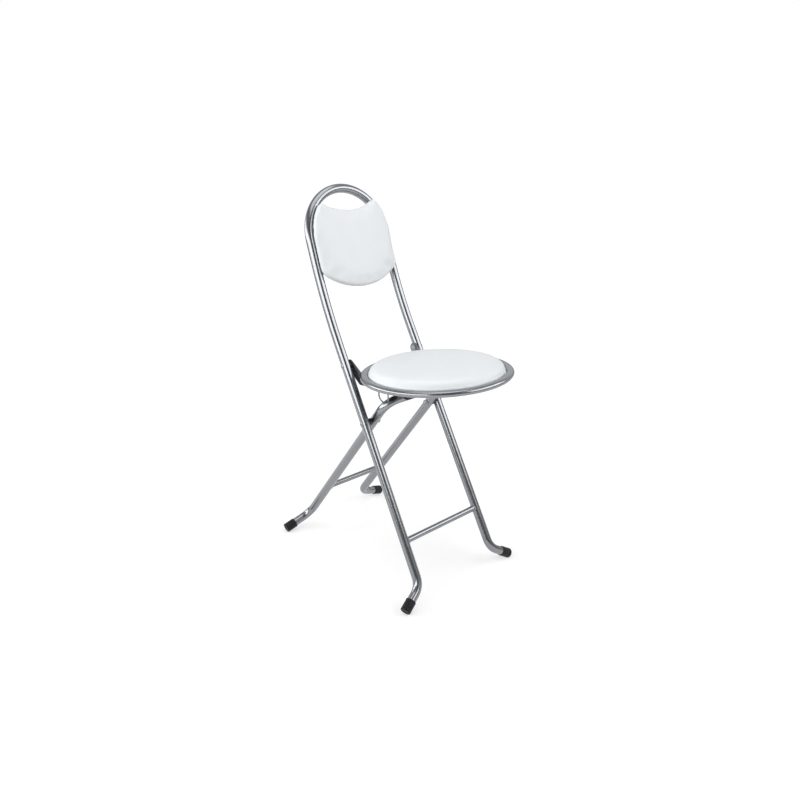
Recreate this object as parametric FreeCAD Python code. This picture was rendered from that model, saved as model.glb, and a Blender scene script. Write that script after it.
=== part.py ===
import FreeCAD, Part
import math
import os

os.makedirs("parts", exist_ok=True)

# Folding stool with a padded backrest: bent steel tube, round padded seat.
# Row frame in millimetres: +Z up, the sitter faces -Y, the floor is z = 0.

# Tube stock
tube_d = 19.0
tube_wall = 1.2
bar_d = 12.7
bar_wall = 1.2

# Seat: round ring, board and cushion. Levels are over the ring's middle plane.
seat_d = 307.6
ring_w = 17.0
ring_h = 11.5
seat_height = 454.8
seat_tilt = 4.0
pad_gap = 0.4
pad_skin = 2.0
pad_rise = 14.5
pad_roll = 16.0
pad_side = -3.0
board_t = 8.0
strap_level = -1.0
strap_w = 24.0
strap_t = 3.0
strap_x = 25.0
drain_d = 4.0

# Main frame in side view: seat pivot, crossing, curved back
hinge_behind = 7.1
hinge_drop = 0.6
hinge_to_cross = 125.1
leg_angle = 61.1
back_turn = 11.0
knee_rise = 145.3
knee_radius = 975.0
back_rise = 222.4
hoop_half = 101.2
leg_splay = 0.0128
front_bar_height = 121.8

# Rear leg frame, inside the main frame with a gap on each side
leg_gap = 5.96
rear_angle = 52.1
rear_top = 64.0
rear_corner_r = 30.0
rear_bar_height = 128.5

# Feet, all four turned outwards
foot_bend_r = 36.0
front_foot_reach = 60.6
front_foot_pitch = 30.0
front_foot_yaw = -13.5
rear_foot_reach = 73.3
rear_foot_pitch = 17.8
rear_foot_yaw = 5.3
cap_wall = 1.5
cap_len = 26.0
cap_end = 4.0
cap_round = 1.6
cap_flat = 0.5

# Pivots and seat brackets
rivet_d = 6.0
rivet_head_d = 9.0
rivet_head_t = 1.8
rivet_rim = 0.5
rivet_flat_d = 2.0
collar_d = 15.0
run_clear = 0.05
face_clear = 0.3
washer_t = 1.2
plate_gap = 1.2
plate_t = 2.5
plate_boss_r = 11.0
plate_slope = 40.0
plate_drop = 27.4
plate_foot = 13.0

# Screws
screw_d = 4.0
screw_head_d = 8.0
screw_head_t = 2.4
screw_bite = 6.0
screw_edge = 46.0

# Moulded rests and wire bows under the seat
rest_w = 22.0
rest_lip = 5.0
rest_under = 3.0
rest_base = 9.0
rest_well = 0.6
wire_d = 3.2
bow_side = 3.8
bow_front = 2.2
bow_rear = 30.4
bow_sink = 4.0
bow_bend_r = 14.0
bow_clear = 2.0

# Backrest pad: levels are distances below the middle of the hoop's top tube
back_inset = 1.2
back_corner_in = 31.0
back_dip = 51.0
back_side_end = 174.0
back_bottom = 211.0
back_board_t = 5.0
back_pad_t = 17.0
back_crown_r = 620.0
back_edge_r = 6.0
back_top_r = 8.0
back_low_r = 20.0
tab_w = 18.0
tab_t = 3.0
tab_reach = 27.2
tab_screw_in = 19.2
tab_levels = {"upper": 80.0, "lower": 165.0}
tab_screw_end = 1.0

tube_r = tube_d / 2.0
bar_r = bar_d / 2.0
cap_r = tube_r + cap_wall
rivet_r = rivet_d / 2.0
head_r = rivet_head_d / 2.0
flat_r = rivet_flat_d / 2.0
collar_r = collar_d / 2.0
screw_r = screw_d / 2.0
ring_r = (seat_d - ring_w) / 2.0
ring_flat = (ring_w - ring_h) / 2.0


def vec(x, y, z):
    return FreeCAD.Vector(x, y, z)


def flip(p):
    return vec(-p.x, p.y, p.z)


def mirrored(shape):
    return shape.mirror(vec(0, 0, 0), vec(1, 0, 0))


def save(shape, name):
    shape.exportStep("parts/" + name + ".step")


def save_pair(shape, name):
    """The piece on the sitter's left and its mirror image on the right."""
    save(shape, name + "_left")
    save(mirrored(shape), name + "_right")


def biggest(shape):
    return max(shape.Solids, key=lambda s: s.Volume)


def rod(start, end, radius):
    run = end - start
    return Part.makeCylinder(radius, run.Length, start, run)


def bent_path(points, radii):
    """Centre line through points, each inner corner rounded by its radius."""
    edges = []
    at = points[0]
    for i in range(1, len(points) - 1):
        corner = points[i]
        radius = radii[i - 1]
        back = points[i - 1] - corner
        back.normalize()
        ahead = points[i + 1] - corner
        ahead.normalize()
        half = back.getAngle(ahead) / 2.0
        first = corner + back * (radius / math.tan(half))
        last = corner + ahead * (radius / math.tan(half))
        inward = back + ahead
        inward.normalize()
        crown = corner + inward * (radius / math.sin(half) - radius)
        edges.append(Part.makeLine(at, first))
        edges.append(Part.Arc(first, crown, last).toShape())
        at = last
    edges.append(Part.makeLine(at, points[-1]))
    return Part.Wire(edges)


def swept(points, radii, radius):
    """Round bar of the given radius along a bent centre line."""
    path = bent_path(points, radii)
    ring = Part.Wire(Part.makeCircle(radius, points[0], points[1] - points[0]))
    return path.makePipeShell([ring], True, False)


def rest_height(pitch):
    """Height of the end centre of a foot cap that rests on the floor."""
    rim = (cap_r - cap_round) * math.cos(pitch) + cap_round
    return rim - cap_round * math.sin(pitch) - cap_flat


# Directions in side view: up the front legs, up the back, down the rear legs.
leg_a = math.radians(leg_angle)
back_a = math.radians(leg_angle + back_turn)
rear_a = math.radians(rear_angle)
tilt = math.radians(seat_tilt)
leg_dir = vec(0, math.cos(leg_a), math.sin(leg_a))
back_dir = vec(0, math.cos(back_a), math.sin(back_a))
back_face = vec(0, -math.sin(back_a), math.cos(back_a))
rear_dir = vec(0, math.cos(rear_a), -math.sin(rear_a))


def foot_dir(pitch, yaw):
    return vec(math.cos(pitch) * math.cos(yaw), math.cos(pitch) * math.sin(yaw), -math.sin(pitch))


front_pitch = math.radians(front_foot_pitch)
rear_pitch = math.radians(rear_foot_pitch)
front_foot = foot_dir(front_pitch, math.radians(front_foot_yaw))
rear_foot = foot_dir(rear_pitch, math.radians(rear_foot_yaw))

# The origin is on the floor under the middle of the object, so the seat centre
# stands off it by half the difference between the front and rear extents.
cross_height = seat_height - hinge_drop - hinge_to_cross * math.sin(leg_a)
cross_back = seat_d / 2.0 + hinge_behind - hinge_to_cross * math.cos(leg_a)
rear_corner_z = rest_height(rear_pitch) + rear_foot_reach * math.sin(rear_pitch)
rear_drop = (cross_height - rear_corner_z) / math.sin(rear_a)
rear_end_back = cross_back + rear_drop * math.cos(rear_a) + rear_foot_reach * rear_foot.y
cap_spread = (cap_r - cap_round) * math.sqrt(1.0 - rear_foot.y ** 2) + cap_round
rear_most = rear_end_back - cap_round * rear_foot.y + cap_spread
front_most = -((ring_r + ring_flat) * math.cos(tilt) + ring_h / 2.0)
seat_y = -(front_most + rear_most) / 2.0

cross = vec(0, cross_back + seat_y, cross_height)
hinge = cross + leg_dir * hinge_to_cross
knee = hinge + leg_dir * knee_rise
hoop_top = knee + back_dir * back_rise


def leg_half(rise):
    """Half spacing of the main tubes at a distance above the crossing."""
    return hoop_half + leg_splay * (knee_rise + hinge_to_cross - rise)


hinge_x = leg_half(hinge_to_cross)
cross_x = leg_half(0)
rear_half = cross_x - tube_d - leg_gap

# Main frame: one tube from the left foot over the hoop to the right foot.
front_corner_z = rest_height(front_pitch) + front_foot_reach * math.sin(front_pitch)
front_drop = (cross_height - front_corner_z) / math.sin(leg_a)
front_corner = cross - leg_dir * front_drop + vec(leg_half(-front_drop), 0, 0)
front_end = front_corner + front_foot * front_foot_reach
hoop_side = vec(hoop_half, 0, 0)
hoop_r = hoop_half - 0.01
main_points = [front_end - front_foot * cap_end, front_corner, knee + hoop_side, hoop_top + hoop_side]
main_points = main_points + [flip(p) for p in reversed(main_points)]
main_radii = [foot_bend_r, knee_radius, hoop_r, hoop_r, knee_radius, foot_bend_r]
main_outer = swept(main_points, main_radii, tube_r)
main_inner = swept(main_points, main_radii, tube_r - tube_wall)

# Rear leg frame: a narrower tube, its cross run under the seat.
rear_corner = cross + rear_dir * rear_drop + vec(rear_half, 0, 0)
rear_end = rear_corner + rear_foot * rear_foot_reach
rear_run_mid = cross - rear_dir * rear_top
rear_points = [rear_end - rear_foot * cap_end, rear_corner, rear_run_mid + vec(rear_half, 0, 0)]
rear_points = rear_points + [flip(p) for p in reversed(rear_points)]
rear_radii = [foot_bend_r, rear_corner_r, rear_corner_r, foot_bend_r]
rear_outer = swept(rear_points, rear_radii, tube_r)
rear_inner = swept(rear_points, rear_radii, tube_r - tube_wall)


def cross_bar(middle, half_span, tubes):
    """Thin tube between two legs, coped to the legs it is welded to."""
    end = vec(half_span, 0, 0)
    bar = rod(middle - end, middle + end, bar_r)
    bar = bar.cut(rod(middle - end, middle + end, bar_r - bar_wall))
    return biggest(bar.cut(tubes))


bar_drop = (cross_height - front_bar_height) / math.sin(leg_a)
save(cross_bar(cross - leg_dir * bar_drop, leg_half(-bar_drop), main_outer), "front_cross_bar")
bar_drop = (cross_height - rear_bar_height) / math.sin(rear_a)
save(cross_bar(cross + rear_dir * bar_drop, rear_half, rear_outer), "rear_cross_bar")

# Foot caps: a closed sleeve on each tube end, worn flat where it stands.
floor_span = 10.0 * seat_d
floor_cut = Part.makeBox(floor_span, floor_span, cap_len, vec(-floor_span / 2.0, -floor_span / 2.0, -cap_len))


def foot_cap(end, direction):
    start = end - direction * cap_len
    sleeve = Part.makeCylinder(cap_r, cap_len, start, direction)
    rims = []
    for edge in sleeve.Edges:
        if isinstance(edge.Curve, Part.Circle):
            rims.append(edge)
    sleeve = sleeve.makeFillet(cap_round, rims)
    bore = Part.makeCylinder(tube_r, cap_len - cap_end, start, direction)
    return sleeve.cut(bore).cut(floor_cut)


save_pair(foot_cap(front_end, front_foot), "front_foot_cap")
save_pair(foot_cap(rear_end, rear_foot), "rear_foot_cap")

# Seat points: x, distance behind the seat centre, level over the ring's middle.
seat_mid = vec(0, seat_y, seat_height)
seat_back = vec(0, math.cos(tilt), -math.sin(tilt))
seat_up = vec(0, math.sin(tilt), math.cos(tilt))


def on_seat(x, back, level):
    return seat_mid + vec(x, 0, 0) + seat_back * back + seat_up * level


def seat_box(x0, x1, back0, back1, level0, level1):
    """Box with its faces square to the seat."""
    base = [on_seat(x0, back0, level0), on_seat(x1, back0, level0),
            on_seat(x1, back1, level0), on_seat(x0, back1, level0)]
    face = Part.Face(Part.makePolygon(base + [base[0]]))
    return face.extrude(seat_up * (level1 - level0))


def seat_pin(x, back, level0, level1, radius):
    return Part.makeCylinder(radius, level1 - level0, on_seat(x, back, level0), seat_up)


hinge_back = (hinge - seat_mid).dot(seat_back)
hinge_level = (hinge - seat_mid).dot(seat_up)
run_back = (rear_run_mid - seat_mid).dot(seat_back)
run_level = (rear_run_mid - seat_mid).dot(seat_up)


def flat_ring(skin):
    """Ring of flattened tube, its section drawn in by skin all round."""
    half = ring_h / 2.0 - skin
    spots = [(ring_flat, half), (ring_flat + half, 0), (ring_flat, -half), (-ring_flat, -half),
             (-ring_flat - half, 0), (-ring_flat, half)]
    spots = [on_seat(ring_r + out, 0, level) for out, level in spots]
    edges = [Part.Arc(spots[0], spots[1], spots[2]).toShape(), Part.makeLine(spots[2], spots[3])]
    edges = edges + [Part.Arc(spots[3], spots[4], spots[5]).toShape(), Part.makeLine(spots[5], spots[0])]
    return Part.Face(Part.Wire(edges)).revolve(seat_mid, seat_up, 360)


# Seat ring: one flattened tube bent round, with drain holes in its underside.
ring_outer = flat_ring(0)
ring = ring_outer.cut(flat_ring(tube_wall))
for side in (-1, 1):
    ring = ring.cut(seat_pin(side * ring_r, 0, -ring_h, 0, drain_d / 2.0))
save(ring, "seat_ring")

# Two flat straps across the ring carry the seat board.
board_r = ring_r - ring_w / 2.0 - pad_gap - pad_skin
board_level = strap_level + board_t
strap_under = strap_level - strap_t
screw_backs = (-(board_r - screw_edge), board_r - screw_edge)
bite_level = strap_level + screw_bite
strap = seat_box(strap_x - strap_w / 2.0, strap_x + strap_w / 2.0, -ring_r, ring_r, strap_under, strap_level)
board = seat_pin(0, 0, strap_level, board_level, board_r)
for back in screw_backs + (run_back,):
    hole = seat_pin(strap_x, back, strap_under, bite_level, screw_r)
    strap = strap.cut(hole)
    board = board.cut(hole).cut(mirrored(hole))
save_pair(biggest(strap.cut(ring_outer)), "seat_strap")
save(board, "seat_board")


def seat_screw(back, seat_level):
    """Screw from below with its head on seat_level, into the seat board."""
    head = seat_pin(strap_x, back, seat_level - screw_head_t, seat_level, screw_head_d / 2.0)
    return head.fuse(seat_pin(strap_x, back, seat_level, bite_level, screw_r))


screws = [seat_screw(back, strap_under) for back in screw_backs]
save(Part.makeCompound(screws + [mirrored(s) for s in screws]), "seat_screws")

# Cushion: crowned top, rolled side, cover drawn down round the board's edge.
pad_r = board_r + pad_skin
side_level = board_level + pad_side
top_level = board_level + pad_rise
flank = pad_r - pad_roll
lift = top_level - side_level
crown_r = (flank ** 2 + lift ** 2 - pad_roll ** 2) / (2.0 * (lift - pad_roll))
crown_level = top_level - crown_r
lean = math.asin(flank / (crown_r - pad_roll))
roll_lean = (lean + math.pi / 2.0) / 2.0
pad_top = on_seat(0, 0, top_level)
pad_mid = on_seat(crown_r * math.sin(lean / 2.0), 0, crown_level + crown_r * math.cos(lean / 2.0))
pad_rim = on_seat(crown_r * math.sin(lean), 0, crown_level + crown_r * math.cos(lean))
roll_mid = on_seat(flank + pad_roll * math.sin(roll_lean), 0, side_level + pad_roll * math.cos(roll_lean))
pad_side_top = on_seat(pad_r, 0, side_level)
under = [on_seat(0, 0, board_level), on_seat(board_r, 0, board_level), on_seat(board_r, 0, strap_level),
         on_seat(pad_r, 0, strap_level), pad_side_top]
profile = [Part.makeLine(pad_top, under[0])]
for i in range(len(under) - 1):
    profile.append(Part.makeLine(under[i], under[i + 1]))
profile.append(Part.Arc(pad_side_top, roll_mid, pad_rim).toShape())
profile.append(Part.Arc(pad_rim, pad_mid, pad_top).toShape())
save(Part.Face(Part.Wire(profile)).revolve(seat_mid, seat_up, 360), "seat_cushion")

# Moulded rests under the straps: the rear frame's cross run lies in them, and
# their front lip keeps the legs from spreading. They are open to the rear.
groove_r = tube_r + face_clear
rest_front = run_back - groove_r - rest_lip
rest_rear = run_back + tube_r
rest = seat_box(strap_x - rest_w / 2.0, strap_x + rest_w / 2.0, rest_front, rest_rear,
                run_level - rest_under, strap_under)
rest = rest.cut(rod(on_seat(0, run_back, run_level), on_seat(2.0 * strap_x, run_back, run_level), groove_r))
way_out = run_level + groove_r * 0.75
rest = rest.cut(seat_box(0, 2.0 * strap_x, run_back, rest_rear, run_level - tube_d, way_out))
well_level = strap_under - rest_base
rest = rest.cut(seat_pin(strap_x, run_back, run_level, well_level, screw_head_d / 2.0 + rest_well))
rest = rest.cut(seat_pin(strap_x, run_back, run_level, strap_under, screw_r))
save_pair(biggest(rest), "seat_rest")
rest_screw = seat_screw(run_back, well_level)
save(Part.makeCompound([rest_screw, mirrored(rest_screw)]), "seat_rest_screws")


def cross_pin(at, x0, x1, radius):
    """Round pin along X between two distances from the middle plane."""
    return Part.makeCylinder(radius, x1 - x0, vec(x0, at.y, at.z), vec(1, 0, 0))


def dome(at, x, height, way):
    """Rounded rivet head standing on the plane at x, with a small flat on its crown."""
    ball_r = (head_r ** 2 + height ** 2) / (2.0 * height)
    rim_lean = math.asin(head_r / ball_r)
    flat_lean = math.asin(flat_r / ball_r)
    base = vec(x, at.y, at.z)
    middle = base + vec(way * (height - ball_r), 0, 0)
    spots = []
    for lean in (rim_lean, (rim_lean + flat_lean) / 2.0, flat_lean):
        spots.append(middle + vec(way * ball_r * math.cos(lean), 0, ball_r * math.sin(lean)))
    rim, shoulder, brow = spots
    crown = vec(brow.x, at.y, at.z)
    edges = [Part.makeLine(base, rim), Part.Arc(rim, shoulder, brow).toShape()]
    edges = edges + [Part.makeLine(brow, crown), Part.makeLine(crown, base)]
    return Part.Face(Part.Wire(edges)).revolve(base, vec(1, 0, 0), 360)


def rivet(at, tube_x, inner_x):
    """Rivet with its outer head bedded on the main tube, inner head at inner_x."""
    crest = tube_x + tube_r
    head = cross_pin(at, tube_x, crest + rivet_rim, head_r)
    head = head.fuse(dome(at, crest + rivet_rim, rivet_head_t - rivet_rim, 1))
    head = biggest(head.cut(main_outer))
    shank = cross_pin(at, inner_x, crest + rivet_rim / 2.0, rivet_r)
    return head.fuse(shank).fuse(dome(at, inner_x, rivet_head_t, -1)).removeSplitter()


def spacer(at, tube_x, inner_x):
    """Sleeve on a rivet, bedded on the inside of the main tube."""
    sleeve = biggest(cross_pin(at, inner_x, tube_x, collar_r).cut(main_outer))
    return sleeve.cut(cross_pin(at, inner_x, tube_x, rivet_r))


# Seat pivot: rivet through the main tube, a spacer, the seat bracket and a washer.
plate_out = hinge_x - tube_r - plate_gap
plate_in = plate_out - plate_t
washer_out = plate_in - face_clear
washer_in = washer_out - washer_t
save_pair(rivet(hinge, hinge_x, washer_in), "seat_pivot_rivet")
washer = cross_pin(hinge, washer_in, washer_out, collar_r)
save_pair(washer.cut(cross_pin(hinge, washer_in, washer_out, rivet_r)), "seat_pivot_washer")
save_pair(spacer(hinge, hinge_x, plate_out + face_clear), "seat_pivot_spacer")

# Seat bracket: a sloping arm from the pivot to a foot under the seat ring.
weld_back = math.sqrt(ring_r ** 2 - plate_in ** 2)
weld_half = ring_w / 2.0 * ring_r / weld_back
slope = math.radians(plate_slope)
edge_back = plate_boss_r * math.sin(slope)
edge_level = plate_boss_r * math.cos(slope)
low_run = (hinge_level - edge_level + plate_drop) / math.tan(slope)
corners = [(hinge_back - edge_back, hinge_level + edge_level), (weld_back + weld_half, -ring_h / 4.0),
           (weld_back, 0), (weld_back - plate_foot, -ring_h / 2.0), (weld_back - plate_foot, -plate_drop),
           (hinge_back + edge_back - low_run, -plate_drop), (hinge_back + edge_back, hinge_level - edge_level)]
corners = [on_seat(plate_in, back, level) for back, level in corners]
plate = Part.Face(Part.makePolygon(corners + [corners[0]])).extrude(vec(plate_t, 0, 0))
plate = plate.fuse(cross_pin(hinge, plate_in, plate_out, plate_boss_r)).removeSplitter()
plate = biggest(plate.cut(ring_outer))
save_pair(plate.cut(cross_pin(hinge, plate_in, plate_out, rivet_r + run_clear)), "seat_bracket")

# Crossing pivot: rivet through the main tube, a spacer, the rear leg, a washer.
washer_in = rear_half - tube_r - washer_t
save_pair(rivet(cross, cross_x, washer_in - face_clear), "crossing_rivet")
save_pair(spacer(cross, cross_x, rear_half + tube_r + face_clear), "crossing_spacer")
washer = biggest(cross_pin(cross, washer_in, rear_half, collar_r).cut(rear_outer))
save_pair(washer.cut(cross_pin(cross, washer_in, rear_half, rivet_r + run_clear)), "crossing_washer")

# The two frame tubes with their pivot holes.
rear_hole = cross_pin(cross, rear_half - tube_d, rear_half + tube_d, rivet_r + run_clear)
save(rear_outer.cut(rear_inner).cut(rear_hole).cut(mirrored(rear_hole)), "rear_frame_tube")
main_tube = main_outer.cut(main_inner)
for at, x in ((hinge, hinge_x), (cross, cross_x)):
    hole = cross_pin(at, x - tube_d, x + tube_d, rivet_r)
    main_tube = main_tube.cut(hole).cut(mirrored(hole))
save(main_tube, "main_frame_tube")


def board_under(y):
    """Height of the seat board's underside at a place along Y."""
    back = (y - seat_mid.y - strap_level * math.sin(tilt)) / math.cos(tilt)
    return on_seat(0, back, strap_level).z


def by_run(back, height):
    return vec(rear_half - tube_r + bow_side, rear_run_mid.y + back, height)


# Wire bows standing on the rear frame's corners, just clear of the seat board.
wire_r = wire_d / 2.0
bow_top = board_under(rear_run_mid.y + bow_rear) - bow_clear - wire_r
bow_foot = rear_run_mid.z - tube_r + bow_sink
bow_points = [by_run(bow_front, rear_run_mid.z), by_run(bow_front, bow_top), by_run(bow_rear, bow_top),
              by_run(bow_rear, bow_foot), by_run(bow_front, bow_foot)]
bow_top_r = (bow_rear - bow_front) / 2.0 - 0.01
bow = swept(bow_points, [bow_top_r, bow_top_r, bow_bend_r], wire_r)
save_pair(biggest(bow.cut(rear_outer)), "wire_bow")

# Backrest points: x, distance below the hoop's top, distance in front of it.
# The back is straight at the top and curves forward below arc_level.
arc_trim = knee_radius * math.tan(math.radians(back_turn) / 2.0)
arc_level = back_rise - arc_trim
arc_centre = knee + back_dir * arc_trim + back_face * knee_radius


def on_back(x, below, out):
    return hoop_top + vec(x, 0, 0) - back_dir * below + back_face * out


def back_line(below, out):
    """Point of the curved back in side view, and the way it faces there."""
    away = back_a - max(0.0, below - arc_level) / knee_radius
    facing = vec(0, -math.sin(away), math.cos(away))
    if below > arc_level:
        return arc_centre - facing * (knee_radius - out), facing
    return on_back(0, below, out), facing


def back_layer(out0, out1):
    """Layer in front of the back tubes between two distances from their centre."""
    ends = []
    for out in (out0, out1):
        full = arc_level + knee_radius * math.radians(back_turn)
        ends.append([back_line(below, out)[0] for below in (0, arc_level, (arc_level + full) / 2.0, full)])
    rear, front = ends
    edges = [Part.makeLine(rear[0], rear[1]), Part.Arc(rear[1], rear[2], rear[3]).toShape()]
    edges = edges + [Part.makeLine(rear[3], front[3]), Part.Arc(front[3], front[2], front[1]).toShape()]
    edges = edges + [Part.makeLine(front[1], front[0]), Part.makeLine(front[0], rear[0])]
    face = Part.Face(Part.Wire(edges))
    face.translate(vec(-2.0 * hoop_half, 0, 0))
    return face.extrude(vec(4.0 * hoop_half, 0, 0))


def back_prism(inset, depth):
    """Outline of the back pad, drawn in by inset, extruded forward by depth."""
    wide = hoop_half - back_inset - inset
    corner_x = hoop_half - back_corner_in - inset
    corner_up = math.sqrt(wide ** 2 - corner_x ** 2)
    turn = math.acos(corner_x / wide) / 2.0
    spots = [(wide, back_side_end), (wide, hoop_half),
             (wide * math.cos(turn), hoop_half - wide * math.sin(turn)), (corner_x, hoop_half - corner_up)]
    left = [on_back(x, below, 0) for x, below in spots]
    right = [flip(p) for p in left]
    dip = on_back(0, back_dip + inset, 0)
    low = on_back(0, back_bottom - inset, 0)
    edges = [Part.makeLine(left[0], left[1]), Part.Arc(left[1], left[2], left[3]).toShape()]
    edges = edges + [Part.Arc(left[3], dip, right[3]).toShape()]
    edges = edges + [Part.Arc(right[3], right[2], right[1]).toShape()]
    edges = edges + [Part.makeLine(right[1], right[0]), Part.Arc(right[0], low, left[0]).toShape()]
    prism = Part.Face(Part.Wire(edges)).extrude(back_face * depth)
    for level, radius in ((hoop_half - corner_up, back_top_r), (back_side_end, back_low_r)):
        upright = []
        for edge in prism.Edges:
            run = edge.valueAt(edge.LastParameter) - edge.valueAt(edge.FirstParameter)
            below = (hoop_top - edge.valueAt(edge.FirstParameter)).dot(back_dir)
            if abs(abs(run.dot(back_face)) - depth) < 0.01 and abs(below - level) < 0.01:
                upright.append(edge)
        prism = prism.makeFillet(radius - inset, upright)
    return prism


# Thin curved board across the front of the hoop tubes.
board_front = tube_r + back_board_t
crest = board_front + back_pad_t
back_board = back_prism(pad_skin, 2.0 * crest).common(back_layer(tube_r, board_front))

# Back cushion: crowned front, rolled edge, cover drawn over the board's edge.
crown_axis = on_back(0, 2.0 * back_bottom, crest - back_crown_r)
crown = Part.makeCylinder(back_crown_r, 4.0 * back_bottom, crown_axis, back_dir)
back_pad = back_prism(0, 2.0 * crest).common(crown)
front_edges = []
for edge in back_pad.Edges:
    spot = edge.valueAt((edge.FirstParameter + edge.LastParameter) / 2.0) - crown_axis
    if abs((spot - back_dir * spot.dot(back_dir)).Length - back_crown_r) < 0.01:
        front_edges.append(edge)
back_pad = back_pad.makeFillet(back_edge_r, front_edges)
back_pad = back_pad.common(back_layer(tube_r, 2.0 * crest))
save(biggest(back_pad.cut(back_board)), "back_cushion")

# Four small tabs welded inside the hoop hold the board by screws from behind.
back_screws = []
for name, below in tab_levels.items():
    spot, facing = back_line(below, tube_r - tab_t)
    along = vec(0, facing.z, -facing.y) * (tab_w / 2.0)
    tab_mid = math.sqrt(hoop_half ** 2 - max(0.0, hoop_half - below) ** 2)
    inner = spot + vec(tab_mid - tab_reach, 0, 0)
    outer = spot + vec(tab_mid - tube_r / 2.0, 0, 0)
    sheet = [inner - along, outer - along, outer + along, inner + along]
    tab = Part.Face(Part.makePolygon(sheet + [sheet[0]])).extrude(facing * tab_t)
    base = spot + vec(tab_mid - tab_screw_in, 0, 0)
    shank = Part.makeCylinder(screw_r, tab_t + back_board_t - tab_screw_end, base, facing)
    head = Part.makeCylinder(screw_head_d / 2.0, screw_head_t, base - facing * screw_head_t, facing)
    save_pair(biggest(tab.cut(main_outer)).cut(shank), "back_tab_" + name)
    back_board = back_board.cut(shank).cut(mirrored(shank))
    screw = head.fuse(shank)
    back_screws = back_screws + [screw, mirrored(screw)]
save(biggest(back_board), "back_board")
save(Part.makeCompound(back_screws), "back_screws")
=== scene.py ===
import math

import bmesh
import bpy
from mathutils import Matrix, Vector
from mathutils.kdtree import KDTree


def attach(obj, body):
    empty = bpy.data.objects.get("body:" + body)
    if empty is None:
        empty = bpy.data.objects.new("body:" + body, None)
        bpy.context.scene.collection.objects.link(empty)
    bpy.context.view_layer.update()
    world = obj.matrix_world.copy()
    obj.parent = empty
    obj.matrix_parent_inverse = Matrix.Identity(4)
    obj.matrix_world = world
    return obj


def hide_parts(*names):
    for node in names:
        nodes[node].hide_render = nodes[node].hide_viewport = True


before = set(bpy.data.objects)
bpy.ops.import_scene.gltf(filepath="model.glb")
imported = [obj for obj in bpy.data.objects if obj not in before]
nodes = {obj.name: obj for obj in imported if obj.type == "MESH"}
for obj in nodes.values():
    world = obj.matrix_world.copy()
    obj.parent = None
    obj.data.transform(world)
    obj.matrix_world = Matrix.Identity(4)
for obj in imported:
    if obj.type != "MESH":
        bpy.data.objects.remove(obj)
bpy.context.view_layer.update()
scene = bpy.context.scene


# Main frame: one length of 19 mm steel tube, bent to legs, back and hoop, then
# satin plated. The plating is a mid grey that mirrors its surroundings in long
# soft streaks, duller in patches where it has been handled.
def linear(code):
    """Linear colour of an sRGB hex value."""
    parts = [int(code[i:i + 2], 16) / 255.0 for i in (1, 3, 5)]
    return [p / 12.92 if p <= 0.04045 else ((p + 0.055) / 1.055) ** 2.4 for p in parts] + [1.0]


def add(material, kind, settings, links):
    """Adds a node, sets its options and inputs, and links outputs to its inputs."""
    made = material.node_tree.nodes.new(kind)
    for name, value in settings.items():
        if isinstance(name, int) or name in made.inputs:
            made.inputs[name].default_value = value
        else:
            setattr(made, name, value)
    for name, source in links.items():
        material.node_tree.links.new(source, made.inputs[name])
    return made


def blank(name):
    """New material with an empty node tree."""
    made = bpy.data.materials.new(name)
    made.use_nodes = True
    made.node_tree.nodes.clear()
    return made


chrome = blank("satin_chrome_plated_steel")
place = add(chrome, "ShaderNodeTexCoord", {}, {})
# Handling dulls the plating in patches about 60 mm wide.
patches = add(chrome, "ShaderNodeTexNoise", {"Scale": 1 / 0.06, "Detail": 3.0},
              {"Vector": place.outputs["Object"]})
gloss = add(chrome, "ShaderNodeMapRange", {"To Min": 0.18, "To Max": 0.27},
            {"Value": patches.outputs["Fac"]})
tone = add(chrome, "ShaderNodeValToRGB", {}, {"Fac": patches.outputs["Fac"]})
tone.color_ramp.elements[0].color = linear("#888A8D")
tone.color_ramp.elements[1].color = linear("#94969A")
# Polishing ripple, about 5 mm from crest to crest and a few microns deep.
ripple = add(chrome, "ShaderNodeTexNoise", {"Scale": 1 / 0.005, "Detail": 2.0},
             {"Vector": place.outputs["Object"]})
relief = add(chrome, "ShaderNodeBump", {"Strength": 0.03, "Distance": 0.0002},
             {"Height": ripple.outputs["Fac"]})
shader = add(chrome, "ShaderNodeBsdfPrincipled", {"Metallic": 1.0},
             {"Base Color": tone.outputs["Color"], "Roughness": gloss.outputs["Result"],
              "Normal": relief.outputs["Normal"]})
add(chrome, "ShaderNodeOutputMaterial", {}, {"Surface": shader.outputs["BSDF"]})


def dress(material, *names):
    """Gives CAD nodes their material."""
    for name in names:
        nodes[name].data.materials.clear()
        nodes[name].data.materials.append(material)


dress(chrome, "main_frame_tube")

# Front cross bar: a thinner tube between the front legs, welded at both ends
# before plating. Each weld is a ring of overlapping ripples that follows the
# saddle where the bar meets the leg.
tube_r = 0.0095
bar_r = 0.00635
bead_r = 0.0017
bead_ripples = 18
bead_swell = 0.16


def piece(name, mesh, material, body):
    """Turns a bmesh into an object that rides on a body."""
    data = bpy.data.meshes.new(name)
    mesh.to_mesh(data)
    mesh.free()
    data.materials.append(material)
    data.shade_smooth()
    made = bpy.data.objects.new(name, data)
    scene.collection.objects.link(made)
    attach(made, body)
    return made


def spun(profile, steps):
    """Surface of revolution about Z of a chain of (radius, height) points."""
    mesh = bmesh.new()
    chain = [mesh.verts.new((r, 0, z)) for r, z in profile]
    edges = [mesh.edges.new(pair) for pair in zip(chain, chain[1:])]
    bmesh.ops.spin(mesh, geom=chain + edges, cent=(0, 0, 0), axis=(0, 0, 1), angle=math.tau,
                   steps=steps, use_merge=True)
    bmesh.ops.remove_doubles(mesh, verts=mesh.verts, dist=1e-6)
    bmesh.ops.recalc_face_normals(mesh, faces=mesh.faces)
    return mesh


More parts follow.
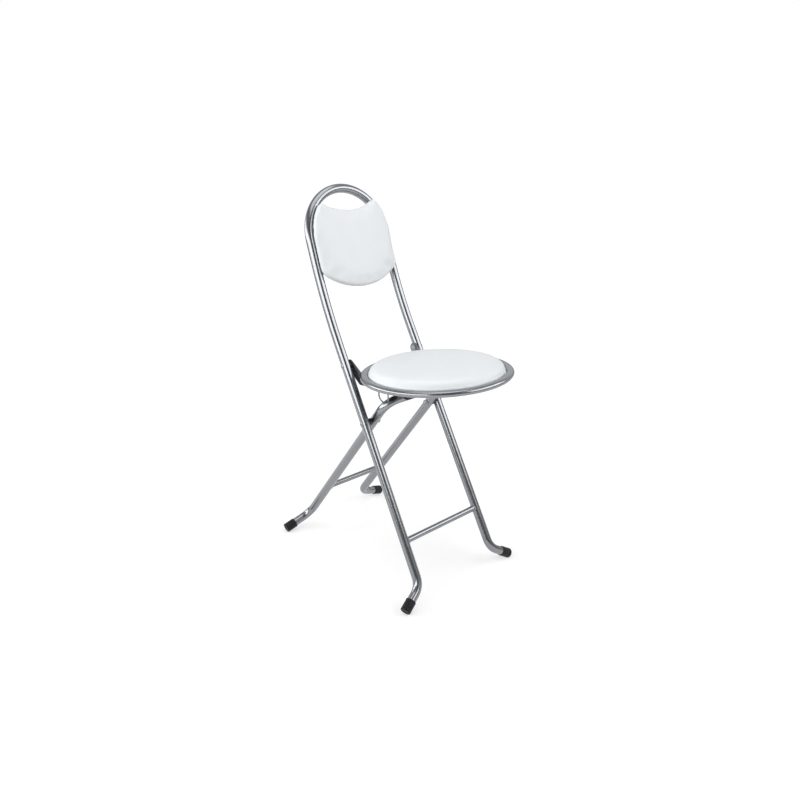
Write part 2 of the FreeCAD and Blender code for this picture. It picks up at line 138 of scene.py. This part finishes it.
def absorb(whole, mesh):
    """Moves one bmesh into another."""
    spare = bpy.data.meshes.new("spare")
    mesh.to_mesh(spare)
    mesh.free()
    whole.from_mesh(spare)
    bpy.data.meshes.remove(spare)


def bar_welds(name, body, middle, half_span, leg):
    """Weld rings at both ends of a bar that runs along X between two legs."""
    welds = bmesh.new()
    for side in (1, -1):
        mesh = bmesh.new()
        bmesh.ops.create_circle(mesh, segments=10, radius=bead_r,
                                matrix=Matrix.Rotation(math.pi / 2, 4, "X"))
        bmesh.ops.translate(mesh, verts=mesh.verts, vec=(bar_r, 0, 0))
        bmesh.ops.spin(mesh, geom=mesh.verts[:] + mesh.edges[:], cent=(0, 0, 0), axis=(0, 0, 1),
                       angle=math.tau, steps=72, use_merge=True)
        bmesh.ops.recalc_face_normals(mesh, faces=mesh.faces)
        for v in mesh.verts:
            turn = math.atan2(v.co.y, v.co.x)
            core = Vector((bar_r * math.cos(turn), bar_r * math.sin(turn), 0))
            v.co = core + (v.co - core) * (1.0 + bead_swell * math.sin(bead_ripples * turn))
            v.co.z += math.sqrt(tube_r ** 2 - core.x ** 2)
        inward = Vector((-side, 0, 0))
        across = leg.cross(inward)
        turn = Matrix((across, leg, inward)).transposed().to_4x4()
        shift = Matrix.Translation(middle - inward * half_span)
        bmesh.ops.transform(mesh, verts=mesh.verts, matrix=shift @ turn)
        absorb(welds, mesh)
    made = piece(name, welds, chrome, body)


dress(chrome, "front_cross_bar")
front_slope = math.radians(61.1)
front_leg = Vector((0, math.cos(front_slope), math.sin(front_slope)))
front_bar = Vector((0, -0.12645, 0.1218))
front_span = 0.10792
bar_welds("front_bar_welds", "main_frame", front_bar, front_span, front_leg)

# Foot caps: moulded rubber cups pushed over the turned-out tube ends. Rubber is
# near black and dull, with a fine moulded grain and a greyer bloom where it has
# been handled.
rubber = blank("moulded_rubber")
place = add(rubber, "ShaderNodeTexCoord", {}, {})
# Bloom in patches about 9 mm wide.
bloom = add(rubber, "ShaderNodeTexNoise", {"Scale": 1 / 0.009, "Detail": 4.0},
            {"Vector": place.outputs["Object"]})
tone = add(rubber, "ShaderNodeValToRGB", {}, {"Fac": bloom.outputs["Fac"]})
tone.color_ramp.elements[0].position = 0.35
tone.color_ramp.elements[0].color = linear("#070708")
tone.color_ramp.elements[1].color = linear("#131315")
# Grain of the mould, about 0.6 mm.
grain = add(rubber, "ShaderNodeTexNoise", {"Scale": 1 / 0.0006, "Detail": 1.0},
            {"Vector": place.outputs["Object"]})
relief = add(rubber, "ShaderNodeBump", {"Strength": 0.3, "Distance": 0.0002},
             {"Height": grain.outputs["Fac"]})
gloss = add(rubber, "ShaderNodeMapRange", {"To Min": 0.42, "To Max": 0.62},
            {"Value": bloom.outputs["Fac"]})
shader = add(rubber, "ShaderNodeBsdfPrincipled", {"IOR": 1.52, "Specular IOR Level": 0.3},
             {"Base Color": tone.outputs["Color"], "Roughness": gloss.outputs["Result"],
              "Normal": relief.outputs["Normal"]})
add(rubber, "ShaderNodeOutputMaterial", {}, {"Surface": shader.outputs["BSDF"]})

# Half of the cup's wall from its mouth to its closed end, with a rolled lip, a
# groove above the tread and a dished end. Heights are from the end face.
cap_wall = [(0.0092, -0.026), (0.0101, -0.026), (0.0107, -0.0257), (0.0110, -0.025),
            (0.0110, -0.0232), (0.01065, -0.0226), (0.0106, -0.0220), (0.01085, -0.0214),
            (0.0109, -0.0208), (0.0109, -0.0084), (0.01085, -0.0080), (0.0105, -0.0076),
            (0.0105, -0.0068), (0.0109, -0.0064), (0.0110, -0.0060), (0.0110, -0.0016),
            (0.01088, -0.0010), (0.01053, -0.00047), (0.0100, -0.00012), (0.0094, 0.0),
            (0.0066, 0.0), (0.0062, -0.0002), (0.0059, -0.0007), (0.0054, -0.0009),
            (0.0, -0.0009)]


def foot_cap(node, body, end, direction):
    """Rubber cup on a tube end, flat where it stands on the floor."""
    mesh = spun(cap_wall, 72)
    turn = direction.to_track_quat("Z", "Y").to_matrix().to_4x4()
    bmesh.ops.transform(mesh, verts=mesh.verts, matrix=Matrix.Translation(end) @ turn)
    bmesh.ops.bisect_plane(mesh, geom=mesh.verts[:] + mesh.edges[:] + mesh.faces[:], dist=1e-6,
                           plane_co=(0, 0, 0), plane_no=(0, 0, -1), clear_outer=True)
    rim = [e for e in mesh.edges if e.is_boundary and max(abs(v.co.z) for v in e.verts) < 1e-5]
    bmesh.ops.holes_fill(mesh, edges=rim, sides=0)
    made = piece(node + "_cup", mesh, rubber, body)
    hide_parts(node)


def flip(point):
    """The same point on the other side of the stool."""
    return Vector((-point.x, point.y, point.z))


front_end = Vector((0.16017, -0.18455, 0.00844))
front_way = Vector((0.8421, -0.2022, -0.5)).normalized()
foot_cap("front_foot_cap_left", "main_frame", front_end, front_way)
foot_cap("front_foot_cap_right", "main_frame", flip(front_end), flip(front_way))

# Pivots: solid steel rivets with low domed heads, each with a black nylon spacer
# against the tube. The zinc on the rivets is greyer and duller than the chrome,
# and the spacers have the satin skin of moulded nylon.
zinc = blank("zinc_plated_steel")
place = add(zinc, "ShaderNodeTexCoord", {}, {})
# Clouding of the zinc, about 4 mm.
cloud = add(zinc, "ShaderNodeTexNoise", {"Scale": 1 / 0.004, "Detail": 4.0},
            {"Vector": place.outputs["Object"]})
tone = add(zinc, "ShaderNodeValToRGB", {}, {"Fac": cloud.outputs["Fac"]})
tone.color_ramp.elements[0].color = linear("#7C7E81")
tone.color_ramp.elements[1].color = linear("#9A9C9E")
gloss = add(zinc, "ShaderNodeMapRange", {"To Min": 0.26, "To Max": 0.42},
            {"Value": cloud.outputs["Fac"]})
shader = add(zinc, "ShaderNodeBsdfPrincipled", {"Metallic": 1.0},
             {"Base Color": tone.outputs["Color"], "Roughness": gloss.outputs["Result"]})
add(zinc, "ShaderNodeOutputMaterial", {}, {"Surface": shader.outputs["BSDF"]})

nylon = blank("moulded_nylon")
place = add(nylon, "ShaderNodeTexCoord", {}, {})
# Spark-eroded mould texture, about 0.8 mm.
grain = add(nylon, "ShaderNodeTexNoise", {"Scale": 1 / 0.0008, "Detail": 2.0},
            {"Vector": place.outputs["Object"]})
tone = add(nylon, "ShaderNodeValToRGB", {}, {"Fac": grain.outputs["Fac"]})
tone.color_ramp.elements[0].color = linear("#161617")
tone.color_ramp.elements[1].color = linear("#212123")
relief = add(nylon, "ShaderNodeBump", {"Strength": 0.25, "Distance": 0.0002},
             {"Height": grain.outputs["Fac"]})
shader = add(nylon, "ShaderNodeBsdfPrincipled", {"IOR": 1.53, "Roughness": 0.46},
             {"Base Color": tone.outputs["Color"], "Normal": relief.outputs["Normal"]})
add(nylon, "ShaderNodeOutputMaterial", {}, {"Surface": shader.outputs["BSDF"]})

for side in ("left", "right"):
    dress(zinc, "seat_pivot_rivet_" + side, "seat_pivot_washer_" + side, "crossing_rivet_" + side)
    dress(nylon, "seat_pivot_spacer_" + side, "crossing_spacer_" + side)

# Back board and its tabs: 5 mm plywood, brushed over with black paint and screwed
# from behind to four steel tabs that are welded inside the hoop. The paint is
# thin and dull, and the grain of the veneer shows through it.
board_paint = blank("black_painted_plywood")
place = add(board_paint, "ShaderNodeTexCoord", {}, {})
# Grain lines about 4 mm apart across the board, drawn out ten times along it.
along = add(board_paint, "ShaderNodeMapping", {"Scale": (1.0, 0.1, 0.1)},
            {"Vector": place.outputs["Object"]})
lines = add(board_paint, "ShaderNodeTexNoise",
            {"Scale": 1 / 0.004, "Detail": 5.0, "Distortion": 0.6},
            {"Vector": along.outputs["Vector"]})
tone = add(board_paint, "ShaderNodeValToRGB", {}, {"Fac": lines.outputs["Fac"]})
tone.color_ramp.elements[0].position = 0.3
tone.color_ramp.elements[0].color = linear("#1A1918")
tone.color_ramp.elements[1].position = 0.75
tone.color_ramp.elements[1].color = linear("#34312E")
relief = add(board_paint, "ShaderNodeBump", {"Strength": 0.3, "Distance": 0.0003},
             {"Height": lines.outputs["Fac"]})
shader = add(board_paint, "ShaderNodeBsdfPrincipled", {"IOR": 1.5, "Roughness": 0.55},
             {"Base Color": tone.outputs["Color"], "Normal": relief.outputs["Normal"]})
add(board_paint, "ShaderNodeOutputMaterial", {}, {"Surface": shader.outputs["BSDF"]})

# The back's own axes, from the top of the hoop: X across, Y up along the hoop and
# Z out of its front.
hoop_top = Vector((0, 0.195622, 0.79304))
hoop_slope = math.radians(72.1)
back_place = Matrix.Translation(hoop_top) @ Matrix.Rotation(hoop_slope, 4, "X")
# The board is cut short at its sides and ends, so that the cover turns over its
# rim in a soft edge.
short_side = 0.001
short_end = 0.006
mesh = bmesh.new()
mesh.from_mesh(nodes["back_board"].data)
bmesh.ops.remove_doubles(mesh, verts=mesh.verts, dist=1e-6)
bmesh.ops.transform(mesh, verts=mesh.verts, matrix=back_place.inverted())
low = Vector([min(v.co[axis] for v in mesh.verts) for axis in range(3)])
high = Vector([max(v.co[axis] for v in mesh.verts) for axis in range(3)])
half = (high - low) / 2
centre = Matrix.Translation(low + half)
size = Matrix.Diagonal((1 - short_side / half.x, 1 - short_end / half.y, 1.0, 1.0))
cut = back_place @ centre @ size @ centre.inverted()
bmesh.ops.transform(mesh, verts=mesh.verts, matrix=cut)
back_board = piece("back_board_eased", mesh, board_paint, "main_frame")
back_board.data.shade_flat()
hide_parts("back_board")
for side in ("left", "right"):
    dress(chrome, "back_tab_upper_" + side, "back_tab_lower_" + side)

# Half of a pan head: a low dome, a rounded rim and the start of the shank.
head_side = [(0.00025 * i, 0.0024 - 0.0006 * (i / 13) ** 2) for i in range(14)]
head_side += [(0.0037, 0.0014), (0.0040, 0.0008), (0.0040, 0.0), (0.0018, 0.0),
              (0.0018, -0.002), (0.0, -0.002)]
recess_half = 0.0005
recess_reach = 0.0022
recess_depth = 0.0012
recess_end = 0.003


def screw_heads(node, body, seats):
    """Pan heads with a cross recess, each at a place and facing outwards from it."""
    heads = bmesh.new()
    for at, way in seats:
        mesh = spun(head_side, 64)
        for v in mesh.verts:
            arm, side = sorted((abs(v.co.x), abs(v.co.y)), reverse=True)
            if v.co.z > 0.001 and side < recess_half and arm < recess_reach:
                v.co.z -= recess_depth * (1.0 - arm / recess_end)
        turn = way.to_track_quat("Z", "X").to_matrix().to_4x4()
        bmesh.ops.transform(mesh, verts=mesh.verts, matrix=Matrix.Translation(at) @ turn)
        absorb(heads, mesh)
    made = piece(node + "_heads", heads, zinc, body)
    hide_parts(node)
    return made


tab_behind = 0.0065
upper_screw = back_place @ Vector((0.07975, -0.080, tab_behind))
upper_way = back_place.to_3x3() @ Vector((0, 0, -1))
lower_screw = Vector((0.0820, 0.13812, 0.63839))
lower_way = Vector((0, 0.9394, -0.3428))
seats = [(upper_screw, upper_way), (lower_screw, lower_way)]
screw_heads("back_screws", "main_frame", seats + [(flip(at), way) for at, way in seats])

# Welds of small parts: short runs of weld, laid before plating, where the tabs
# meet the hoop and, further down, the straps and brackets meet the seat ring.
run_r = 0.0016
run_step = 0.0008


def weld_runs(name, body, runs):
    """Rippled beads along chains of points."""
    path = bpy.data.curves.new(name, "CURVE")
    path.dimensions = "3D"
    path.bevel_depth = run_r
    path.bevel_resolution = 3
    path.use_fill_caps = True
    for run in runs:
        spots = []
        for start, end in zip(run, run[1:]):
            count = max(1, round((end - start).length / run_step))
            spots += [start.lerp(end, i / count) for i in range(count)]
        spots.append(run[-1])
        spline = path.splines.new("POLY")
        spline.points.add(len(spots) - 1)
        for i, spot in enumerate(spots):
            spline.points[i].co = (*spot, 1.0)
            spline.points[i].radius = 0.85 + 0.15 * math.cos(math.tau * i / 3)
        spline.points[0].radius = spline.points[-1].radius = 0.5
    shape = bpy.data.objects.new(name, path)
    mesh = bmesh.new()
    mesh.from_mesh(shape.to_mesh())
    bpy.data.objects.remove(shape)
    bpy.data.curves.remove(path)
    bmesh.ops.remove_doubles(mesh, verts=mesh.verts, dist=1e-6)
    bmesh.ops.recalc_face_normals(mesh, faces=mesh.faces)
    made = piece(name, mesh, chrome, body)
    return made


hoop_half = 0.1012
tab_weld_x = 0.09427
hoop_weld = []
for drop in range(72, 89, 2):
    across = math.sqrt(tab_weld_x ** 2 - (hoop_half - 0.001 * drop) ** 2)
    hoop_weld.append(back_place @ Vector((across, -0.001 * drop, tab_behind)))
side_up = Vector((0, -lower_way.z, lower_way.y))
side_mid = Vector((tab_weld_x, lower_screw.y, lower_screw.z))
side_weld = [side_mid + side_up * rise for rise in (-0.008, 0.0, 0.008)]
runs = [hoop_weld, side_weld]
weld_runs("back_tab_welds", "main_frame", runs + [[flip(spot) for spot in run] for run in runs])

# Back cushion: foam under smooth vinyl, drawn round the edge of the board. The
# vinyl is off-white and satin, with a fine leather grain, and the foam swells it
# to a soft crown with a rolled edge.
vinyl = blank("embossed_vinyl")
place = add(vinyl, "ShaderNodeTexCoord", {}, {})
# Leather grain cells about 1.6 mm across.
cells = add(vinyl, "ShaderNodeTexVoronoi",
            {"feature": "SMOOTH_F1", "Scale": 1 / 0.0016, "Smoothness": 0.6},
            {"Vector": place.outputs["Object"]})
# Soft unevenness of the foam below, about 45 mm.
swell = add(vinyl, "ShaderNodeTexNoise", {"Scale": 1 / 0.045, "Detail": 2.0},
            {"Vector": place.outputs["Object"]})
tone = add(vinyl, "ShaderNodeValToRGB", {}, {"Fac": swell.outputs["Fac"]})
tone.color_ramp.elements[0].color = linear("#E3E7E9")
tone.color_ramp.elements[1].color = linear("#EAEDEF")
relief = add(vinyl, "ShaderNodeBump", {"Strength": 0.12, "Distance": 0.0004},
             {"Height": cells.outputs["Distance"]})
gloss = add(vinyl, "ShaderNodeMapRange", {"To Min": 0.42, "To Max": 0.55},
            {"Value": swell.outputs["Fac"]})
shader = add(vinyl, "ShaderNodeBsdfPrincipled", {"IOR": 1.5},
             {"Base Color": tone.outputs["Color"], "Roughness": gloss.outputs["Result"],
              "Normal": relief.outputs["Normal"]})
add(vinyl, "ShaderNodeOutputMaterial", {}, {"Surface": shader.outputs["BSDF"]})

pressure = 4.0
settle_frames = 20


def puff(made, cap, glued):
    """Blows a cover up by cloth simulation; no point moves further than cap."""
    group = made.vertex_groups.new(name="glued")
    group.add([v.index for v in made.data.vertices if glued(v)], 1.0, "REPLACE")
    start = [v.co.copy() for v in made.data.vertices]
    cloth = made.modifiers.new("cover", "CLOTH")
    cloth.settings.vertex_group_mass = "glued"
    cloth.settings.use_pressure = True
    cloth.settings.uniform_pressure_force = pressure
    cloth.settings.effector_weights.gravity = 0.0
    for step in range(settle_frames):
        scene.frame_set(1 + step)
    shaped = made.evaluated_get(bpy.context.evaluated_depsgraph_get()).data
    moves = [shaped.vertices[i].co - at for i, at in enumerate(start)]
    made.modifiers.remove(cloth)
    made.vertex_groups.remove(group)
    scene.frame_set(1)
    for v, at, move in zip(made.data.vertices, start, moves):
        v.co = at + move * min(1.0, cap / max(move.length, 1e-9))


def soften(made, turns):
    """Evens a mesh out with a few smoothing passes."""
    mesh = bmesh.new()
    mesh.from_mesh(made.data)
    for turn in range(turns):
        bmesh.ops.smooth_vert(mesh, verts=mesh.verts, factor=0.5, use_axis_x=True,
                              use_axis_y=True, use_axis_z=True)
    mesh.to_mesh(made.data)
    mesh.free()


def subdivided(made):
    """Gives a cover one subdivision, which rounds its facets."""
    finer = made.modifiers.new("finer", "SUBSURF")
    finer.levels = 1
    finer.render_levels = 1


mesh = bmesh.new()
mesh.from_mesh(nodes["back_cushion"].data)
mesh.from_mesh(nodes["back_board"].data)
bmesh.ops.remove_doubles(mesh, verts=mesh.verts, dist=1e-5)
bmesh.ops.transform(mesh, verts=mesh.verts, matrix=back_place.inverted())
back_cushion = piece("back_cushion_cover", mesh, vinyl, "main_frame")
block = back_cushion.copy()
block.data = back_cushion.data.copy()
scene.collection.objects.link(block)
bpy.context.view_layer.objects.active = back_cushion
back_cushion.data.remesh_voxel_size = 0.004
bpy.ops.object.voxel_remesh()
soften(back_cushion, 3)
snug = back_cushion.modifiers.new("snug", "SHRINKWRAP")
snug.target = block
bpy.ops.object.modifier_apply(modifier="snug")
bpy.data.objects.remove(block)
soften(back_cushion, 1)
puff(back_cushion, 0.0025, lambda v: v.normal.z < -0.4)
soften(back_cushion, 2)

hem_w = 0.019
hem_t = 0.0006
hem_taper = 0.008
hem_sink = 0.0025
staple_in = 0.0114
staple_gap = 0.026
up = Vector((0, 0, 1))


def tuck(made):
    """Presses the middle of the underside into the board and leaves a hem round it.
    Returns the places of staples in the hem: where each is, and its way along the edge."""
    under = [v for v in made.data.vertices if v.normal.z < -0.5]
    sides = [v for v in made.data.vertices if abs(v.normal.z) <= 0.5]
    near = KDTree(len(sides))
    for i, v in enumerate(sides):
        near.insert(v.co, i)
    near.balance()
    staples = []
    for v in under:
        edge, index, gap = near.find(v.co)
        apart = all((v.co - at).length > staple_gap for at, way in staples)
        if apart and abs(gap - staple_in) < 0.002:
            staples.append((v.co - up * hem_t, (edge - v.co).cross(up).normalized()))
    for v in under:
        # The cut edge of the hem thins out, and meets the board at the hem's width.
        share = hem_t / (hem_t + hem_sink) + (near.find(v.co)[2] - hem_w) / hem_taper
        share = min(1.0, max(0.0, share))
        v.co.z += hem_sink * share - hem_t * (1.0 - share)
    return staples


staples = tuck(back_cushion)
back_cushion.data.transform(back_place)
back_cushion.data.shade_smooth()
subdivided(back_cushion)
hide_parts("back_cushion")


# Staples: bright wire shot through the hem of the cover into the board, about
# 26 mm apart. Each is a rounded bar 10 mm long that lies in the vinyl.
def staple_row(name, body, staples):
    """Rounded bars that lie flat, each at a place and along a way."""
    size = Matrix.Diagonal((0.010, 0.0011, 0.0008, 1.0))
    mesh = bmesh.new()
    for at, way in staples:
        turn = Matrix((way, up.cross(way).normalized(), up)).transposed().to_4x4()
        bar = bmesh.ops.create_cube(mesh, size=1.0, matrix=Matrix.Translation(at) @ turn @ size)
        edges = {e for v in bar["verts"] for e in v.link_edges}
        bmesh.ops.bevel(mesh, geom=list(edges), offset=0.00025, segments=2, profile=0.5,
                        affect="EDGES", material=-1)
    row = piece(name, mesh, zinc, body)
    return row


staple_row("back_staples", "main_frame", staples).data.transform(back_place)

# Seat ring and straps: a tube flattened to 17 by 11.5 mm and bent to a ring, with
# two flat steel straps welded across it to carry the seat board, all chrome plated.
dress(chrome, "seat_ring", "seat_strap_left", "seat_strap_right")

# Seat brackets: flat steel arms from the pivots to the ring, in a dark grey steel that is
# painted shade of the gap beside the tube. It is grey where it catches the light and smeared by
# oil.
steel_painted_shade = blank("dark_steel_painted_shade")
place = add(steel_painted_shade, "ShaderNodeTexCoord", {}, {})
# Mill scale and oil smears, about 6 mm.
smear = add(steel_painted_shade, "ShaderNodeTexNoise", {"Scale": 1 / 0.006, "Detail": 4.0},
            {"Vector": place.outputs["Object"]})
tone = add(steel_painted_shade, "ShaderNodeValToRGB", {}, {"Fac": smear.outputs["Fac"]})
# Dark grey colour of the steel: painted shade, standing in for the dark gap beside the tube.
tone.color_ramp.elements[0].color = linear("#5C5E61")
tone.color_ramp.elements[1].color = linear("#8A8C8F")
gloss = add(steel_painted_shade, "ShaderNodeMapRange", {"To Min": 0.28, "To Max": 0.45},
            {"Value": smear.outputs["Fac"]})
shader = add(steel_painted_shade, "ShaderNodeBsdfPrincipled", {"Metallic": 1.0},
             {"Base Color": tone.outputs["Color"], "Roughness": gloss.outputs["Result"]})
add(steel_painted_shade, "ShaderNodeOutputMaterial", {}, {"Surface": shader.outputs["BSDF"]})
dress(steel_painted_shade, "seat_bracket_left", "seat_bracket_right")

seat_tilt = math.radians(-4.0)
seat_place = Matrix.Translation((0, -0.103855, 0.4548)) @ Matrix.Rotation(seat_tilt, 4, "X")
ring_r = 0.1453
ring_flat = 0.00275
ring_round = 0.00575


def ring_line(x, turns):
    """Line on the lower half of the ring's flattened section, in the plane at x."""
    spots = []
    for turn in turns:
        angle = math.radians(turn)
        flat = math.copysign(ring_flat, math.cos(angle))
        out = ring_r + flat + ring_round * math.cos(angle)
        spots.append(Vector((x, math.sqrt(out ** 2 - x ** 2), ring_round * math.sin(angle))))
    return spots


# One weld across each end of a strap, and one up each face of a bracket.
strap_weld = ((0.013, 0.1378), (0.025, 0.1361), (0.037, 0.1334))
runs = [[Vector((x, back * y, -0.004)) for x, y in strap_weld] for back in (1, -1)]
runs += [ring_line(x, range(-20, -165, -12)) for x in (0.0894, 0.0928)]
runs += [[flip(spot) for spot in run] for run in runs]
weld_runs("seat_welds", "seat", runs).data.transform(seat_place)

# Seat board, screws and rests: a round of the same painted plywood, screwed to the
# straps from below, with two moulded rests that take the rear frame's cross run.
dress(board_paint, "seat_board")
dress(nylon, "seat_rest_left", "seat_rest_right")
strap_x = 0.025
strap_under = -0.004
rest_under = -0.013
sides = (strap_x, -strap_x)
seats = [(Vector((x, back, strap_under)), -up) for x in sides for back in (0.0884, -0.0884)]
screw_heads("seat_screws", "seat", seats).data.transform(seat_place)
seats = [(Vector((x, 0.06514, rest_under)), -up) for x in sides]
screw_heads("seat_rest_screws", "seat", seats).data.transform(seat_place)

# Seat cushion: a round foam pad under the same vinyl, drawn over the board's edge
# inside the ring. It is nearly flat on top and rolls down to just inside the tube.
pad_r = 0.1364
pad_top = 0.0204
roll_low = 0.0040
roll = [math.radians(5 + 85 * i / 11) for i in range(12)]
pad_side = [(0.02 * i, pad_top) for i in range(6)]
pad_side += [(0.1206 + 0.0160 * math.sin(a), roll_low + 0.0168 * math.cos(a)) for a in roll]
pad_side += [(0.1361, 0.0010), (0.1357, -0.0012), (0.1348, -0.0017), (0.128, -0.0017),
             (0.122, -0.0017), (0.1175, -0.0016), (0.1165, -0.0006), (0.115, 0.001),
             (0.06, 0.001), (0.0, 0.001)]
mesh = spun(pad_side, 192)
seat_cushion = piece("seat_cushion_cover", mesh, vinyl, "seat")
puff(seat_cushion, 0.0014, lambda v: v.co.z < 0.008)
pleats = 48
pleat_r = 0.1345
pleat_w = 0.018
pleat_t = 0.0005
for v in seat_cushion.data.vertices:
    out = math.hypot(v.co.x, v.co.y)
    if out > pad_r:
        v.co.x *= pad_r / out
        v.co.y *= pad_r / out
    if v.co.z < -0.001 and out < pleat_r:
        # Pleats where the round cover is gathered under the board.
        fold = max(0.0, math.sin(pleats * math.atan2(v.co.y, v.co.x)))
        v.co.z -= pleat_t * fold * (pleat_r - out) / pleat_w
seat_cushion.data.transform(seat_place)
subdivided(seat_cushion)
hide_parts("seat_cushion")
hem_staples = 30
turns = [Matrix.Rotation(math.tau * (i + 0.5) / hem_staples, 3, "Z") for i in range(hem_staples)]
staples = [(turn @ Vector((0.1240, 0, -0.0021)), turn @ Vector((0, 1, 0))) for turn in turns]
staple_row("seat_staples", "seat", staples).data.transform(seat_place)

# Rear frame: the same tube bent to two legs and a cross run, its own cross bar
# welded between the legs, plated like the main frame, with capped feet.
dress(chrome, "rear_frame_tube", "rear_cross_bar")
rear_slope = math.radians(52.1)
rear_leg = Vector((0, math.cos(rear_slope), -math.sin(rear_slope)))
rear_bar = Vector((0, 0.16488, 0.1285))
rear_span = 0.0797
bar_welds("rear_bar_welds", "rear_frame", rear_bar, rear_span, rear_leg)
rear_end = Vector((0.14919, 0.24648, 0.00956))
rear_way = Vector((0.9481, 0.0879, -0.3057)).normalized()
foot_cap("rear_foot_cap_left", "rear_frame", rear_end, rear_way)
foot_cap("rear_foot_cap_right", "rear_frame", flip(rear_end), flip(rear_way))

# Washers under the inner rivet heads, and bows of bright spring wire on the upper
# corners of the rear frame.
for side in ("left", "right"):
    dress(zinc, "crossing_washer_" + side, "wire_bow_" + side)

# Stage: a white floor and background, two soft boxes on the left, one on the right
# and one overhead, in a studio whose grey walls are out of shot.
scene.view_settings.view_transform = "Standard"


def stage(name, mesh, material):
    """Turns a bmesh into a part of the studio."""
    data = bpy.data.meshes.new(name)
    mesh.to_mesh(data)
    mesh.free()
    data.materials.append(material)
    made = bpy.data.objects.new(name, data)
    scene.collection.objects.link(made)
    return made


def background_rays(material):
    """Factor that is 1 for rays that show the background: seen, mirrored or through glass."""
    path = add(material, "ShaderNodeLightPath", {}, {})
    shown = add(material, "ShaderNodeMath", {"operation": "MAXIMUM"},
                {0: path.outputs["Is Camera Ray"], 1: path.outputs["Is Glossy Ray"]})
    return add(material, "ShaderNodeMath", {"operation": "MAXIMUM"},
               {0: shown.outputs["Value"], 1: path.outputs["Is Transmission Ray"]})


paper = blank("matt_white_paper")
place = add(paper, "ShaderNodeTexCoord", {}, {})
away = add(paper, "ShaderNodeVectorMath", {"operation": "LENGTH"}, {0: place.outputs["Object"]})
# The lamps reach less far than the sheet, so its white is carried further out.
reach = add(paper, "ShaderNodeMapRange",
            {"From Min": 0.3, "From Max": 2.5, "To Min": 0.55, "To Max": 0.9},
            {"Value": away.outputs["Value"]})
lift = add(paper, "ShaderNodeMath", {"operation": "MULTIPLY"},
           {0: background_rays(paper).outputs["Value"], 1: reach.outputs["Result"]})
matt = add(paper, "ShaderNodeBsdfDiffuse", {"Color": linear("#C2C2C2")}, {})
glow = add(paper, "ShaderNodeEmission", {}, {"Strength": lift.outputs["Value"]})
both = add(paper, "ShaderNodeAddShader", {}, {0: matt.outputs["BSDF"], 1: glow.outputs["Emission"]})
add(paper, "ShaderNodeOutputMaterial", {}, {"Surface": both.outputs["Shader"]})
mesh = bmesh.new()
bmesh.ops.create_circle(mesh, cap_ends=True, segments=96, radius=60.0)
stage("floor", mesh, paper)

plaster = blank("studio_wall_plaster")
place = add(plaster, "ShaderNodeTexCoord", {}, {})
around = add(plaster, "ShaderNodeTexGradient", {"gradient_type": "RADIAL"},
             {"Vector": place.outputs["Object"]})
# White behind the stool, grey at the sides and dark behind the camera.
bright = add(plaster, "ShaderNodeValToRGB", {}, {"Fac": around.outputs["Fac"]})
bright_stops = ((0.085, 0.6), (0.85, 0.6), (0.105, 0.3), (0.25, 0.3), (0.28, 0.6), (0.45, 0.9),
                (0.62, 1.0), (0.8, 0.9))
height = add(plaster, "ShaderNodeSeparateXYZ", {}, {"Vector": place.outputs["Object"]})
# Darker towards the floor and the ceiling.
level = add(plaster, "ShaderNodeMapRange", {"From Max": 3.2}, {"Value": height.outputs["Z"]})
shade = add(plaster, "ShaderNodeValToRGB", {}, {"Fac": level.outputs["Result"]})
shade_stops = ((0.15, 0.35), (0.75, 0.6), (0.36, 0.9), (0.5, 0.9))
for ramp, stops in ((bright.color_ramp, bright_stops), (shade.color_ramp, shade_stops)):
    for i, (position, grey) in enumerate(stops):
        stop = ramp.elements[i] if i < 2 else ramp.elements.new(position)
        stop.position = position
        stop.color = (grey, grey, grey, 1.0)
glow = add(plaster, "ShaderNodeEmission", {},
           {"Color": bright.outputs["Color"], "Strength": shade.outputs["Color"]})
add(plaster, "ShaderNodeOutputMaterial", {}, {"Surface": glow.outputs["Emission"]})
walls = stage("studio_walls", spun([(3.2, 0.02), (3.2, 2.4), (2.8, 3.0), (0.0, 3.2)], 64), plaster)
walls.visible_camera = False
walls.visible_diffuse = False
walls.visible_shadow = False

world = bpy.data.worlds.new("studio")
scene.world = world
world.use_nodes = True
world.node_tree.nodes.clear()
soft = add(world, "ShaderNodeBackground", {"Color": linear("#FFFFFF"), "Strength": 0.28}, {})
white = add(world, "ShaderNodeBackground", {"Color": linear("#FFFFFF"), "Strength": 1.0}, {})
mixed = add(world, "ShaderNodeMixShader", {},
            {0: background_rays(world).outputs["Value"], 1: soft.outputs["Background"],
             2: white.outputs["Background"]})
add(world, "ShaderNodeOutputWorld", {}, {"Surface": mixed.outputs["Shader"]})


def lamp(name, at, target, width, height, power):
    """Soft box: where it hangs, what it faces, its size in metres and its watts."""
    data = bpy.data.lights.new(name, "AREA")
    data.shape = "RECTANGLE"
    data.size = width
    data.size_y = height
    data.energy = power
    made = bpy.data.objects.new(name, data)
    made.location = at
    made.rotation_euler = (Vector(target) - Vector(at)).to_track_quat("-Z", "Y").to_euler()
    made.visible_camera = False
    scene.collection.objects.link(made)


stool_mid = (0, 0, 0.6)
lamp("left_rear_box", (-1.39, 1.30, 1.0), stool_mid, 1.85, 0.9, 18.0)
lamp("left_front_box", (-1.88, -0.30, 1.0), stool_mid, 1.85, 0.9, 18.0)
lamp("right_box", (1.12, -1.53, 1.55), stool_mid, 2.6, 1.1, 26.0)
lamp("top_box", (0.0, -0.1, 2.3), (0, -0.1, 0.45), 1.6, 1.6, 13.0)

view = bpy.data.cameras.new("camera")
view.sensor_width = 36.0
view.lens = 33.38
camera = bpy.data.objects.new("camera", view)
camera.location = (-1.0071, -1.0889, 0.9218)
camera.rotation_euler = (math.radians(90.0 - 20.454), 0, math.radians(-42.653))
scene.collection.objects.link(camera)
scene.camera = camera
